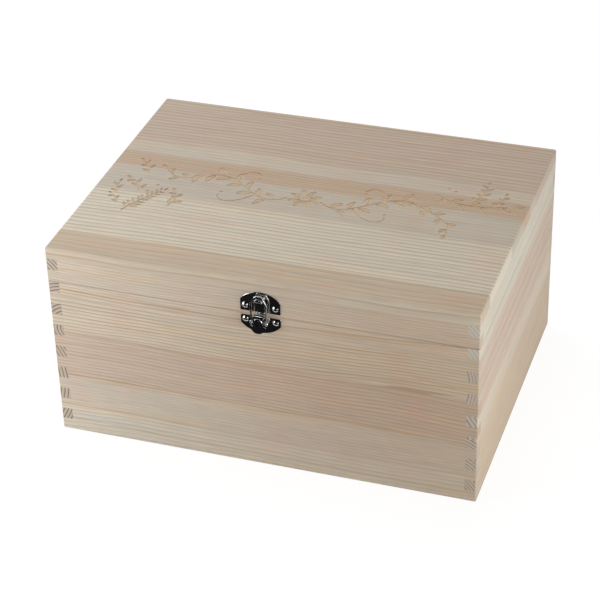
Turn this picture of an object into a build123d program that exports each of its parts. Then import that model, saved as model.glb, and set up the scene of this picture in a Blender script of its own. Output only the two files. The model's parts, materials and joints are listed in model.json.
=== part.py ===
from build123d import *
import os
from math import asin, atan2, cos, hypot, sin

# Keepsake box: finger-jointed pine walls, a lid cut from the same carcass and
# hinged at the back, and a small toggle clasp at the front. Millimetres.
# The origin is the middle of the underside. The front faces -Y and +Z is up.

# ---------------------------------------------------------------- the carcass
box_width = 300.0
box_depth = 225.0
box_height = 150.0
wall = 8.0
lid_panel_thickness = 9.0
corner_ease = 0.6  # sanded off the upright corners and the lower edge
lid_corner_round = 0.8
lid_edge_round = 1.6  # rounding of the arris round the top
finger_count = 16  # equal fingers from the base to the lid panel
lid_finger_count = 2  # how many of them went with the lid
lid_gap = 0.3  # what the saw and sander took between box and lid

# ----------------------------------------------------------- the bottom panel
bottom_thickness = 4.0
rebate_depth = 4.0
rebate_corner = 5.0
bottom_clearance = 0.15

# ------------------------------------------------------------------ the hinges
hinge_spacing = 170.0
hinge_length = 25.0
hinge_leaf_height = 11.0
hinge_sheet = 0.9
hinge_corner = 1.5
hinge_pin_radius = 0.8
hinge_knuckles = 3
knuckle_gap = 0.3
barrel_stand_off = 0.2  # barrel to the wood
hinge_screw_spacing = 16.0
hinge_screw_drop = 6.5  # barrel axis to the screws

# ------------------------------------------------------------------- the clasp
# Heights on the clasp are from the line between box and lid, and "out" is how
# far something stands in front of the front wall.
clasp_offset = 2.4  # the clasp sits a little right of the middle
clasp_sheet = 0.8
clasp_width = 28.0
clasp_corner = 0.6
clasp_edge = 0.25
pin_radius = 0.75
pin_fit = 0.05  # radial clearance round every pin

catch_bottom = 2.2
catch_shoulder = 11.3
catch_top = 17.7
base_top = -1.2
base_shoulder = -7.3
base_bottom = -13.9

hook_width = 6.8
hook_fold_gap = 0.45  # between the plate and the tail folded up over it
hook_fold_radius = 0.6
hook_bend_radius = 0.9
hook_fold_low = 0.8  # the fold hangs a little below the plate
hook_shelf = 12.7  # middle of the shelf that the loop pulls on
hook_lip_out = 5.75
hook_top = 14.8

lever_pin_out = 4.2
lever_pin_up = -0.2
ear_radius = 1.35
ear_gap = 0.2
ear_sheet = 0.7
ear_foot_low = -4.4
ear_foot_high = -1.5

lever_width = 6.9
lever_nose_radius = 2.2
lever_tail_radius = 1.7
lever_throw = 3.6  # lever pin to bail pin
tab_neck = -5.6
tab_tip = -10.6
tab_radius = 5.5
tab_corner = 0.8
tab_lift = 1.0  # how far the tab's tip is bent out
knob_radius = 3.2
knob_up = -2.7
knob_height = 0.55
knob_edge = 0.25
knob_dish_radius = 2.45
knob_dish_depth = 0.5

bail_gap = 0.25
bail_leg = 1.2
bail_sheet = 1.2
bail_eye_radius = 1.5
bail_seat = 13.4  # lower edge of the loop's top, behind the hook's lip
bail_seat_out = 4.0
bail_top = 16.9
bail_dome_radius = 4.1
bail_shoulder = 10.3  # where the legs start to draw in
bail_window_top = 6.6  # width of the window at the seat
bail_pin_head_radius = 1.15
bail_pin_head = 0.4

# ------------------------------------------------------------------ the screws
screw_shank_radius = 0.85
screw_length = 6.2
screw_fit = 0.03
round_head_radius = 2.1
round_head_height = 1.15
flat_head_radius = 1.75
recess_length = 2.3
recess_width = 0.55
recess_depth = 0.5
plate_screw_spacing = 21.0
catch_screw_up = 6.5
base_screw_up = -4.2

# ------------------------------------------------- what follows from the sizes
panel_underside = box_height - lid_panel_thickness
finger = panel_underside / finger_count
split = finger * (finger_count - lid_finger_count)
box_rim = split - lid_gap / 2
lid_rim = split + lid_gap / 2
edge_tolerance = corner_ease / 10

barrel_radius = hinge_pin_radius + pin_fit + hinge_sheet
barrel_out = barrel_radius + barrel_stand_off

lever_half = lever_width / 2
ear_inner = lever_half + ear_gap
ear_outer = ear_inner + ear_sheet
bail_inner = ear_outer + bail_gap
bail_outer = bail_inner + bail_leg
bail_pin_up = lever_pin_up - lever_throw
web_front = lever_pin_out + lever_nose_radius
web_middle = web_front - clasp_sheet / 2
lever_pin_place = (lever_pin_out, lever_pin_up)
bail_pin_place = (lever_pin_out, bail_pin_up)

# ------------------------------------------------------------------ the planes
# On each face X runs along the board and Y is height.
front_face = Plane(origin=(0, -box_depth / 2, 0), x_dir=(1, 0, 0), z_dir=(0, -1, 0))
back_face = Plane(origin=(0, box_depth / 2, 0), x_dir=(-1, 0, 0), z_dir=(0, 1, 0))
left_face = Plane(origin=(-box_width / 2, 0, 0), x_dir=(0, -1, 0), z_dir=(-1, 0, 0))
right_face = Plane(origin=(box_width / 2, 0, 0), x_dir=(0, 1, 0), z_dir=(1, 0, 0))
# The clasp's face lies on the front wall at the split. Its side cuts the clasp
# down the middle, with X out from the wall.
clasp_origin = (clasp_offset, -box_depth / 2, split)
clasp_face = Plane(origin=clasp_origin, x_dir=(1, 0, 0), z_dir=(0, -1, 0))
clasp_side = Plane(origin=clasp_origin, x_dir=(0, -1, 0), z_dir=(-1, 0, 0))
hinge_line = Plane(origin=(0, box_depth / 2, split), x_dir=(-1, 0, 0), z_dir=(0, 1, 0))


def hinge_screw_points(side):
    """Screw places on the hinge line's plane: side is 1 on the lid and -1 on the box."""
    return [
        (hinge + screw, side * hinge_screw_drop)
        for hinge in (-hinge_spacing / 2, hinge_spacing / 2)
        for screw in (-hinge_screw_spacing / 2, hinge_screw_spacing / 2)
    ]


def clasp_screw_points(up):
    """The two screw places of a clasp plate, on the clasp's face."""
    return [(-plate_screw_spacing / 2, up), (plate_screw_spacing / 2, up)]


def finish(part, name):
    """Labels a finished piece and writes it to its own file."""
    part.label = name
    export_step(part, f"parts/{name}.step")


os.makedirs("parts", exist_ok=True)


# ------------------------------------------------------- box walls and lid rim
def on_side_or_face(edge):
    """How an edge lies to the box's outline: on a side (left or right), on a face (front or back)."""
    middle = edge.center()
    on_side = abs(abs(middle.X) - box_width / 2) < edge_tolerance
    on_face = abs(abs(middle.Y) - box_depth / 2) < edge_tolerance
    return on_side, on_face


def on_corner(edge):
    """Whether an edge runs up one of the box's four corners."""
    return all(on_side_or_face(edge))


def on_base_outline(edge):
    """Whether an edge lies on the outline of the box's underside."""
    return edge.center().Z < edge_tolerance and any(on_side_or_face(edge))


def bottom_outline(clearance):
    """The rebate that the bottom panel is let into, or with its clearance the panel itself."""
    inset = wall - rebate_depth + clearance
    with BuildSketch() as outline:
        RectangleRounded(box_width - 2 * inset, box_depth - 2 * inset, rebate_corner - clearance)
    return outline.sketch


def finger_board(face, length, low, high, first_finger, pilot_plane=None, pilots=()):
    """A board between two heights, with a finger at both ends in every other place.

    first_finger is 0 for the boards with the even fingers and 1 for those with
    the odd ones. The pilots are blind holes for screws, bored from the outside.
    """
    with BuildPart() as board:
        with BuildSketch(face):
            with Locations((0, (low + high) / 2)):
                Rectangle(length - 2 * wall, high - low)
            for place in range(first_finger, finger_count, 2):
                bottom = max(place * finger, low)
                top = min((place + 1) * finger, high)
                if top > bottom:
                    with Locations((0, (bottom + top) / 2)):
                        Rectangle(length, top - bottom)
        extrude(amount=-wall)
        eased = board.edges().filter_by(on_corner) + board.edges().filter_by(on_base_outline)
        chamfer(eased, corner_ease)
        if low == 0:
            extrude(bottom_outline(clearance=0), amount=bottom_thickness, mode=Mode.SUBTRACT)
        if pilots:
            with BuildSketch(pilot_plane):
                with Locations(*pilots):
                    Circle(screw_shank_radius + screw_fit)
            extrude(amount=-screw_length, mode=Mode.SUBTRACT)
    return board.part


carcass_boards = [
    ("front_wall", front_face, box_width, 0, clasp_face, clasp_screw_points(base_screw_up)),
    ("back_wall", back_face, box_width, 0, hinge_line, hinge_screw_points(-1)),
    ("left_wall", left_face, box_depth, 1, None, ()),
    ("right_wall", right_face, box_depth, 1, None, ()),
]
for name, face, length, first_finger, pilot_plane, pilots in carcass_boards:
    finish(finger_board(face, length, 0, box_rim, first_finger, pilot_plane, pilots), name)

lid_boards = [
    ("lid_front_rail", front_face, box_width, 0, clasp_face, clasp_screw_points(catch_screw_up)),
    ("lid_back_rail", back_face, box_width, 0, hinge_line, hinge_screw_points(1)),
    ("lid_left_rail", left_face, box_depth, 1, None, ()),
    ("lid_right_rail", right_face, box_depth, 1, None, ()),
]
for name, face, length, first_finger, pilot_plane, pilots in lid_boards:
    rail = finger_board(face, length, lid_rim, panel_underside, first_finger, pilot_plane, pilots)
    finish(rail, name)

# ------------------------------------------------------------------- lid panel
with BuildPart() as lid_panel:
    with BuildSketch(Plane.XY.offset(panel_underside)):
        Rectangle(box_width, box_depth)
    extrude(amount=lid_panel_thickness)
    fillet(lid_panel.edges().filter_by(Axis.Z), lid_corner_round)
    fillet(lid_panel.faces().sort_by(Axis.Z)[-1].edges(), lid_edge_round)
finish(lid_panel.part, "lid_panel")

# ---------------------------------------------------------------- bottom panel
with BuildPart() as bottom_panel:
    extrude(bottom_outline(bottom_clearance), amount=bottom_thickness)
finish(bottom_panel.part, "bottom_panel")


# ---------------------------------------------------------------------- screws
def screw_group(screw, plane, points):
    """Copies of one screw at points on a plane, as separate solids of one piece."""
    with BuildPart(plane) as group:
        with Locations(*points):
            add(screw)
    return group.part


# Round head: a cap of a ball with a cross recess. Z = 0 is where it sits on the plate.
head_ball = (round_head_radius**2 + round_head_height**2) / (2 * round_head_height)
half_cap = asin(round_head_radius / head_ball) / 2
cap_middle = (head_ball * sin(half_cap), head_ball * (cos(half_cap) - 1) + round_head_height)
with BuildPart() as round_head_screw:
    with BuildSketch(Plane.XZ):
        with BuildLine():
            ThreePointArc((round_head_radius, 0), cap_middle, (0, round_head_height))
            Polyline(
                (0, round_head_height),
                (0, -screw_length),
                (screw_shank_radius, -screw_length),
                (screw_shank_radius, 0),
                (round_head_radius, 0),
            )
        make_face()
    revolve(axis=Axis.Z)
    with BuildSketch(Plane.XY.offset(round_head_height - recess_depth)):
        Rectangle(recess_length, recess_width)
        Rectangle(recess_width, recess_length)
    extrude(amount=recess_depth, mode=Mode.SUBTRACT)

# Flat head: it fills its countersink. Z = 0 is the front of the hinge leaf.
with BuildPart() as flat_head_screw:
    with BuildSketch(Plane.XZ):
        with BuildLine():
            Polyline(
                (0, 0),
                (flat_head_radius, 0),
                (screw_shank_radius, screw_shank_radius - flat_head_radius),
                (screw_shank_radius, -screw_length),
                (0, -screw_length),
                close=True,
            )
        make_face()
    revolve(axis=Axis.Z)

plate_front = clasp_face.offset(clasp_sheet)
leaf_front = hinge_line.offset(hinge_sheet)
clasp_screw = round_head_screw.part
hinge_screw = flat_head_screw.part
finish(screw_group(clasp_screw, plate_front, clasp_screw_points(catch_screw_up)), "catch_plate_screws")
finish(screw_group(clasp_screw, plate_front, clasp_screw_points(base_screw_up)), "clasp_base_screws")
finish(screw_group(hinge_screw, leaf_front, hinge_screw_points(1)), "hinge_lid_screws")
finish(screw_group(hinge_screw, leaf_front, hinge_screw_points(-1)), "hinge_box_screws")


# ---------------------------------------------------------------------- hinges
def round_pin(plane, centre, half_length, radius, head_radius=0.0, head=0.0):
    """A pin across a plane, as long on both sides: flush, or riveted over with a head at each end."""
    with BuildPart() as pin:
        with BuildSketch(plane):
            with Locations(centre):
                Circle(radius)
        extrude(amount=half_length, both=True)
        if head:
            for side in (-1, 1):
                with BuildSketch(plane.offset(side * half_length)):
                    with Locations(centre):
                        Circle(head_radius)
                extrude(amount=side * head)
            ends = pin.faces().filter_by(Axis.X).sort_by(Axis.X)
            chamfer(ends[0].edges() + ends[-1].edges(), head / 2)
    return pin.part


def hinge_section(middle):
    """The plane across a hinge at its middle: X out from the back wall, Y up from the split."""
    return Plane(origin=(middle, box_depth / 2, split), x_dir=(0, 1, 0), z_dir=(1, 0, 0))


def hinge_leaf(middle, side):
    """One leaf of a butt hinge on the back: side is 1 on the lid and -1 on the box.

    The box's leaf has the first, third and every other odd knuckle, the lid's leaf those between.
    """
    leaf_plane = Plane(origin=(middle, box_depth / 2, split), x_dir=(-1, 0, 0), z_dir=(0, 1, 0))
    pitch = hinge_length / hinge_knuckles
    first_notch = 0 if side > 0 else 1
    with BuildPart(leaf_plane.offset(hinge_sheet)) as leaf:
        with BuildSketch(hinge_section(middle)):
            with Locations((hinge_sheet / 2, side * hinge_leaf_height / 2)):
                Rectangle(hinge_sheet, hinge_leaf_height)
            with Locations((barrel_out, 0)):
                Circle(barrel_radius)
                Circle(hinge_pin_radius + pin_fit, mode=Mode.SUBTRACT)
        extrude(amount=hinge_length / 2, both=True)
        by_height = leaf.edges().filter_by(Axis.Y).sort_by(Axis.Z)
        fillet(by_height[-2:] if side > 0 else by_height[:2], hinge_corner)
        # Notches for the other leaf's knuckles.
        with BuildSketch(leaf_plane):
            for knuckle in range(first_notch, hinge_knuckles, 2):
                with Locations((pitch * (knuckle + 0.5) - hinge_length / 2, 0)):
                    Rectangle(pitch + knuckle_gap, 2 * (barrel_radius + knuckle_gap))
        extrude(amount=2 * barrel_out, mode=Mode.SUBTRACT)
        with Locations(
            (-hinge_screw_spacing / 2, side * hinge_screw_drop),
            (hinge_screw_spacing / 2, side * hinge_screw_drop),
        ):
            CounterSinkHole(
                screw_shank_radius + screw_fit,
                flat_head_radius + screw_fit,
                counter_sink_angle=90,
            )
    return leaf.part


for name, middle in (("left_hinge", -hinge_spacing / 2), ("right_hinge", hinge_spacing / 2)):
    finish(hinge_leaf(middle, -1), name + "_box_leaf")
    finish(hinge_leaf(middle, 1), name + "_lid_leaf")
    hinge_pin = round_pin(hinge_section(middle), (barrel_out, 0), hinge_length / 2, hinge_pin_radius)
    finish(hinge_pin, name + "_pin")


# ----------------------------------------------------------- clasp: catch plate
def plate_outline(straight, shoulder, crown, screw_up):
    """A clasp plate: straight along the split, arched at the other end, with two screw holes."""
    with BuildSketch(clasp_face) as outline:
        with BuildLine():
            Polyline(
                (-clasp_width / 2, shoulder),
                (-clasp_width / 2, straight),
                (clasp_width / 2, straight),
                (clasp_width / 2, shoulder),
            )
            ThreePointArc((clasp_width / 2, shoulder), (0, crown), (-clasp_width / 2, shoulder))
        make_face()
        fillet(outline.vertices(), clasp_corner)
        with Locations(*clasp_screw_points(screw_up)):
            Circle(screw_shank_radius + screw_fit, mode=Mode.SUBTRACT)
    return outline.sketch


# The plate's lower edge has a tail that is folded up over the plate. Its end
# stands out as a shelf and turns up into the hook's lip.
tail_middle = clasp_sheet / 2 + clasp_sheet + hook_fold_gap
fold_middle = hook_fold_low + clasp_sheet / 2
hook_arch = hook_top - hook_width / 2
with BuildPart() as catch_plate:
    extrude(plate_outline(catch_bottom, catch_shoulder, catch_top, catch_screw_up), amount=clasp_sheet)
    chamfer(catch_plate.faces().sort_by(Axis.Y)[0].outer_wire().edges(), clasp_edge)
    with BuildSketch(clasp_side):
        with BuildLine():
            FilletPolyline(
                (clasp_sheet / 2, hook_shelf),
                (clasp_sheet / 2, fold_middle),
                (tail_middle, fold_middle),
                (tail_middle, hook_shelf),
                (hook_lip_out, hook_shelf),
                (hook_lip_out, hook_top),
                radius=[hook_fold_radius, hook_fold_radius, hook_bend_radius, hook_bend_radius],
            )
        trace(line_width=clasp_sheet)
    extrude(amount=hook_width / 2, both=True)
    # The hook's end is arched, seen from the front.
    with BuildSketch(clasp_face.offset(clasp_sheet + hook_fold_gap / 2)):
        with Locations((0, hook_arch + hook_width / 2)):
            Rectangle(2 * hook_width, hook_width)
        with Locations((0, hook_arch)):
            Circle(hook_width / 2, mode=Mode.SUBTRACT)
    extrude(amount=hook_lip_out, mode=Mode.SUBTRACT)
finish(catch_plate.part, "catch_plate")

# ------------------------------------------------------------ clasp: base plate
with BuildPart() as clasp_base_plate:
    extrude(plate_outline(base_top, base_shoulder, base_bottom, base_screw_up), amount=clasp_sheet)
    chamfer(clasp_base_plate.faces().sort_by(Axis.Y)[0].outer_wire().edges(), clasp_edge)
    # Two ears carry the lever.
    for side in (-1, 1):
        with BuildSketch(clasp_side.offset(side * ear_inner)):
            with Locations(lever_pin_place):
                Circle(ear_radius)
            with Locations((clasp_sheet / 2, (ear_foot_low + ear_foot_high) / 2)):
                Rectangle(clasp_sheet, ear_foot_high - ear_foot_low)
            make_hull()
        extrude(amount=side * ear_sheet)
    with BuildSketch(clasp_side):
        with Locations(lever_pin_place):
            Circle(pin_radius + pin_fit)
    extrude(amount=clasp_width, both=True, mode=Mode.SUBTRACT)
finish(clasp_base_plate.part, "clasp_base_plate")

# ----------------------------------------------------------------- clasp: lever
# A channel of folded sheet: a web in front, two cheeks that hold the pins, and
# a round thumb tab. A round dished knob stands on the web.
knob_ball = (knob_dish_radius**2 + knob_dish_depth**2) / (2 * knob_dish_depth)
with BuildPart(clasp_face) as clasp_lever:
    with BuildSketch(clasp_side):
        with BuildLine():
            web_line = Line((web_middle, lever_pin_up), (web_middle, tab_neck))
            TangentArc((web_middle, tab_neck), (web_middle + tab_lift, tab_tip), tangent=web_line % 1)
        trace(line_width=clasp_sheet)
    extrude(amount=2 * tab_radius, both=True)
    with BuildSketch(clasp_face) as tab_outline:
        with Locations((0, tab_tip + tab_radius)):
            Circle(tab_radius)
        with Locations((0, tab_neck + tab_radius)):
            Rectangle(4 * tab_radius, 2 * tab_radius, mode=Mode.SUBTRACT)
        fillet(tab_outline.vertices(), tab_corner)
        with Locations((0, (lever_pin_up + tab_neck) / 2)):
            Rectangle(lever_width, lever_pin_up - tab_neck)
    extrude(amount=2 * web_front, mode=Mode.INTERSECT)
    with BuildSketch(clasp_side):
        with Locations(lever_pin_place):
            Circle(lever_nose_radius)
        with Locations(bail_pin_place):
            Circle(lever_tail_radius)
        with Locations((web_middle, (lever_pin_up + tab_neck) / 2)):
            Rectangle(clasp_sheet, lever_pin_up - tab_neck)
        make_hull()
    extrude(amount=lever_half, both=True)
    # The channel is open at the back.
    with BuildSketch(clasp_side):
        with Locations(lever_pin_place):
            Circle(lever_nose_radius - clasp_sheet)
        with Locations(((web_front - clasp_sheet) / 2, lever_pin_up + tab_neck / 2)):
            Rectangle(web_front - clasp_sheet, -tab_neck)
    extrude(amount=lever_half - clasp_sheet, both=True, mode=Mode.SUBTRACT)
    with BuildSketch(clasp_face.offset(web_middle)):
        with Locations((0, knob_up)):
            Circle(knob_radius)
    extrude(amount=clasp_sheet / 2 + knob_height)
    with Locations((0, knob_up, web_front + knob_height - knob_dish_depth + knob_ball)):
        Sphere(knob_ball, mode=Mode.SUBTRACT)
    with BuildSketch(clasp_side):
        with Locations(lever_pin_place, bail_pin_place):
            Circle(pin_radius + pin_fit)
    extrude(amount=lever_width, both=True, mode=Mode.SUBTRACT)
finish(clasp_lever.part, "clasp_lever")

lever_pin = round_pin(clasp_side, lever_pin_place, ear_outer, pin_radius)
finish(lever_pin, "lever_pin")

# ------------------------------------------------------------------ clasp: bail
# A stamped loop. It leans in from the bail pin to its seat behind the hook.
bail_reach = hypot(bail_seat - bail_pin_up, lever_pin_out - bail_seat_out)
bail_lean = atan2(lever_pin_out - bail_seat_out, bail_seat - bail_pin_up)
dome_middle = bail_reach + bail_top - bail_seat - bail_dome_radius
shoulder_reach = bail_shoulder - bail_pin_up
bail_face = Plane(
    origin=clasp_side.from_local_coords(bail_pin_place),
    x_dir=(1, 0, 0),
    z_dir=(0, -cos(bail_lean), sin(bail_lean)),
)
with BuildPart() as clasp_bail:
    with BuildSketch(bail_face):
        with Locations((0, shoulder_reach / 2)):
            Rectangle(2 * bail_outer, shoulder_reach)
        with Locations((0, dome_middle)):
            Circle(bail_dome_radius)
        make_hull()
    extrude(amount=bail_sheet / 2, both=True)
    with BuildSketch(bail_face):
        with BuildLine():
            Polyline(
                (-bail_inner, -bail_eye_radius),
                (-bail_inner, shoulder_reach),
                (-bail_window_top / 2, bail_reach),
                (bail_window_top / 2, bail_reach),
                (bail_inner, shoulder_reach),
                (bail_inner, -bail_eye_radius),
                close=True,
            )
        make_face()
    extrude(amount=bail_sheet, both=True, mode=Mode.SUBTRACT)
    for side in (-1, 1):
        with BuildSketch(clasp_side.offset(side * bail_inner)):
            with Locations(bail_pin_place):
                Circle(bail_eye_radius)
        extrude(amount=side * bail_leg)
    with BuildSketch(clasp_side):
        with Locations(bail_pin_place):
            Circle(pin_radius + pin_fit)
    extrude(amount=clasp_width, both=True, mode=Mode.SUBTRACT)
finish(clasp_bail.part, "clasp_bail")

bail_pin = round_pin(
    clasp_side,
    bail_pin_place,
    bail_outer + pin_fit,
    pin_radius,
    bail_pin_head_radius,
    bail_pin_head,
)
finish(bail_pin, "bail_pin")
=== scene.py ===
"""Dresses the pine keepsake box: wood, an engraved lid, nickel fittings and a studio."""

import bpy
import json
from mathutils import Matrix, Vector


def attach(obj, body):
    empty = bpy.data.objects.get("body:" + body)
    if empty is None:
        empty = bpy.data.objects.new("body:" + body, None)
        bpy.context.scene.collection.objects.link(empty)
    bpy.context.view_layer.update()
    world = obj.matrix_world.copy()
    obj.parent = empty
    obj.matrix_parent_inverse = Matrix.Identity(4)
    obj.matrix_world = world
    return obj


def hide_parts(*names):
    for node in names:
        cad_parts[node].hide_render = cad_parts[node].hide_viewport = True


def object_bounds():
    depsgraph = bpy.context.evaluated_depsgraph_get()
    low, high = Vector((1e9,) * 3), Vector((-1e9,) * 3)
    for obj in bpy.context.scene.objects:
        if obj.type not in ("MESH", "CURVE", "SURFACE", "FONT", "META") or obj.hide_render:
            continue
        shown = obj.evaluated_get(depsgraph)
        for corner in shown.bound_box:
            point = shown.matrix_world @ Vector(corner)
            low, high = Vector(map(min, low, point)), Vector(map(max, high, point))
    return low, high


bl_info = {
    "name": "Keepsake Box",
    "version": (1, 0, 0),
    "blender": (4, 5, 0),
    "location": "View3D > Sidebar > Keepsake Box",
    "description": "Gives a finger-jointed pine box its wood, engraved lid and nickel fittings",
    "category": "Object",
}

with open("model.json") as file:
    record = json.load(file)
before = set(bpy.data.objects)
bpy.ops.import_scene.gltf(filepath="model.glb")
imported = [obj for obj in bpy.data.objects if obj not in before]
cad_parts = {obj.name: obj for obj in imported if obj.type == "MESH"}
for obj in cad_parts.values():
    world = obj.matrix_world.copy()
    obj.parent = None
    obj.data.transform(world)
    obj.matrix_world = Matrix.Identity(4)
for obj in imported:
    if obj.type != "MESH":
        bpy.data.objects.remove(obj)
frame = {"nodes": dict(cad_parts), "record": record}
CAD_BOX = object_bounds()

import json
import math
from collections import namedtuple

import bmesh
import bpy
from bpy.props import FloatProperty, FloatVectorProperty, IntProperty, PointerProperty
from mathutils import Matrix, Vector
from mathutils.geometry import delaunay_2d_cdt, interpolate_bezier

MM = 0.001
NODES = frame["nodes"]
BOX_CENTRE = (Vector(CAD_BOX[0]) + Vector(CAD_BOX[1])) / 2
WELD = 1e-7
WHITE = (1.0, 1.0, 1.0)

# Edges that turn by less than this many degrees look smooth.
SMOOTH_ANGLE = 40
SCREW_SMOOTH_ANGLE = 32


# --- Settings ---

def kind(maker, measure=1, **limits):
    """A kind of setting, whose numbers are given in some measure of their own."""
    def setting(name, description, default):
        value = default if measure == 1 else default * measure
        return maker(name=name, description=description, default=value, **limits)
    return setting


Colour = kind(FloatVectorProperty, subtype="COLOR", size=3, min=0.0, max=1.0)
Place = kind(FloatVectorProperty, subtype="XYZ", unit="LENGTH", size=3)
Share = kind(FloatProperty, subtype="FACTOR", min=0.0, max=1.0)
Length = kind(FloatProperty, MM, subtype="DISTANCE", unit="LENGTH", min=0.0, precision=5)
Angle = kind(FloatProperty, math.radians(1), subtype="ANGLE", unit="ROTATION")
Power = kind(FloatProperty, unit="POWER")
Pixels = kind(FloatProperty)
Seed = kind(IntProperty)


class KeepsakeWoodSettings(bpy.types.PropertyGroup):
    """Colours and figure of the pine boards."""

    pale: Colour("Sapwood", "Whitish sapwood", (0.64, 0.555, 0.455))
    cream: Colour("Cream Wood", "Yellowish pale wood", (0.64, 0.56, 0.45))
    chalk: Colour("Chalky Wood", "Whitest sapwood", (0.64, 0.594, 0.504))
    oat: Colour("Dull Wood", "Dull pale sapwood", (0.597, 0.53, 0.442))
    straw: Colour("Straw Wood", "Bright yellowish wood", (0.74, 0.665, 0.55))
    pink: Colour("Heartwood", "Pinkish heartwood", (0.60, 0.485, 0.395))
    tan: Colour("Tan Wood", "Tan wood near the heart", (0.61, 0.495, 0.37))
    amber: Colour("Resin Band", "Orange, resin-rich wood", (0.60, 0.45, 0.33))
    resin: Colour("Resin Lines", "Single strong orange lines", (0.50, 0.345, 0.215))
    latewood: Colour("Ring Lines", "Dark wood that ends a ring", (0.42, 0.285, 0.175))
    end_grain: Colour("End Grain", "Wood cut across the fibres", (0.55, 0.50, 0.45))
    burnt: Colour("Engraving", "Wood toasted by the engraving", (0.72, 0.53, 0.345))
    plywood: Colour("Bottom Veneer", "Face veneer of the bottom", (0.62, 0.50, 0.37))
    ring_strength: Share("Ring Strength", "How dark the rings are", 1.0)
    fibre_strength: Share("Fibre Strength", "How much the fibres vary", 0.40)
    roughness: Share("Roughness", "Roughness of the sanded wood", 0.62)


class KeepsakeLidSettings(bpy.types.PropertyGroup):
    """The engraved ornament of the lid."""

    depth: Length("Engraving Depth", "How deep the burnt ornament is", 0.35)
    stem_width: Length("Stem Width", "Width of a stem at its foot", 1.5)
    seed: Seed("Seed", "Picks the small turns of the leaves", 4)


class KeepsakeMetalSettings(bpy.types.PropertyGroup):
    """Clasp, hinges and screws."""

    nickel: Colour("Clasp Nickel", "Bright nickel plate", (0.80, 0.79, 0.775))
    nickel_roughness: Share("Clasp Roughness", "Roughness of the clasp", 0.10)
    hinge_nickel: Colour("Hinge Nickel", "Duller nickel plate", (0.47, 0.455, 0.435))
    hinge_nickel_roughness: Share("Hinge Roughness", "Roughness of the hinges", 0.28)
    edge_round: Length("Edge Round", "Rounding of the sheet's edges", 0.24)
    round_head: Length("Round Head", "Height of a clasp screw's head", 1.15)
    flat_head: Length("Flat Head", "Depth of a hinge screw's head", 1.1)
    recess_length: Length("Recess Length", "Length of the cross recess", 2.3)
    recess_width: Length("Recess Width", "Width of one arm of the recess", 0.5)
    recess_depth: Length("Recess Depth", "Depth of the cross recess", 0.7)
    shank_radius: Length("Shank Radius", "Radius of a screw's shank", 0.85)
    seed: Seed("Seed", "Picks how far each screw is turned", 7)


class KeepsakeStudioSettings(bpy.types.PropertyGroup):
    """Camera, lamps and room."""

    focal_pixels: Pixels("Focal Length", "In pixels of the photograph", 2018.2)
    azimuth: Angle("Azimuth", "Camera's turn round the box", 19.044)
    elevation: Angle("Elevation", "Camera's height as an angle", 32.990)
    roll: Angle("Roll", "Camera's tilt about its view", -1.641)
    place: Place("Camera Place", "Where the camera stands", (0.38751, -1.14865, 0.85142))
    ambient: Share("Room Light", "Light from all round", 0.15)
    room_tint: Colour("Room Tint", "Colour of the room light", (1.0, 0.88, 0.77))
    lamp_tint: Colour("Lamp Tint", "Colour of the left lamps", (1.0, 0.99, 0.975))
    side_tint: Colour("Side Tint", "Colour of the right lamp", (0.98, 1.0, 0.99))
    top_tint: Colour("Top Tint", "Colour of the lamp above", (0.91, 0.975, 1.0))
    side_power: Power("Side Lamp", "Power of the right lamp", 3.37)
    front_power: Power("Front Lamp", "Power of the front left lamp", 1.27)
    top_power: Power("Top Lamp", "Power of the lamp above", 11.3)
    back_power: Power("Back Lamp", "Power of the back left lamp", 7.0)


SETTINGS = {
    "keepsake_wood": KeepsakeWoodSettings,
    "keepsake_lid": KeepsakeLidSettings,
    "keepsake_metal": KeepsakeMetalSettings,
    "keepsake_studio": KeepsakeStudioSettings,
}


# --- Node benches ---

def arithmetic(operation):
    """One sign of a wire's arithmetic: it adds a Math node."""
    return lambda wire, other: wire.bench.math(operation, wire, other)


class Wire:
    """A node's output, to be joined to others or used like a number."""

    __add__ = arithmetic("ADD")
    __sub__ = arithmetic("SUBTRACT")
    __mul__ = arithmetic("MULTIPLY")
    __truediv__ = arithmetic("DIVIDE")

    def __init__(self, bench, socket):
        self.bench = bench
        self.socket = socket


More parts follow.
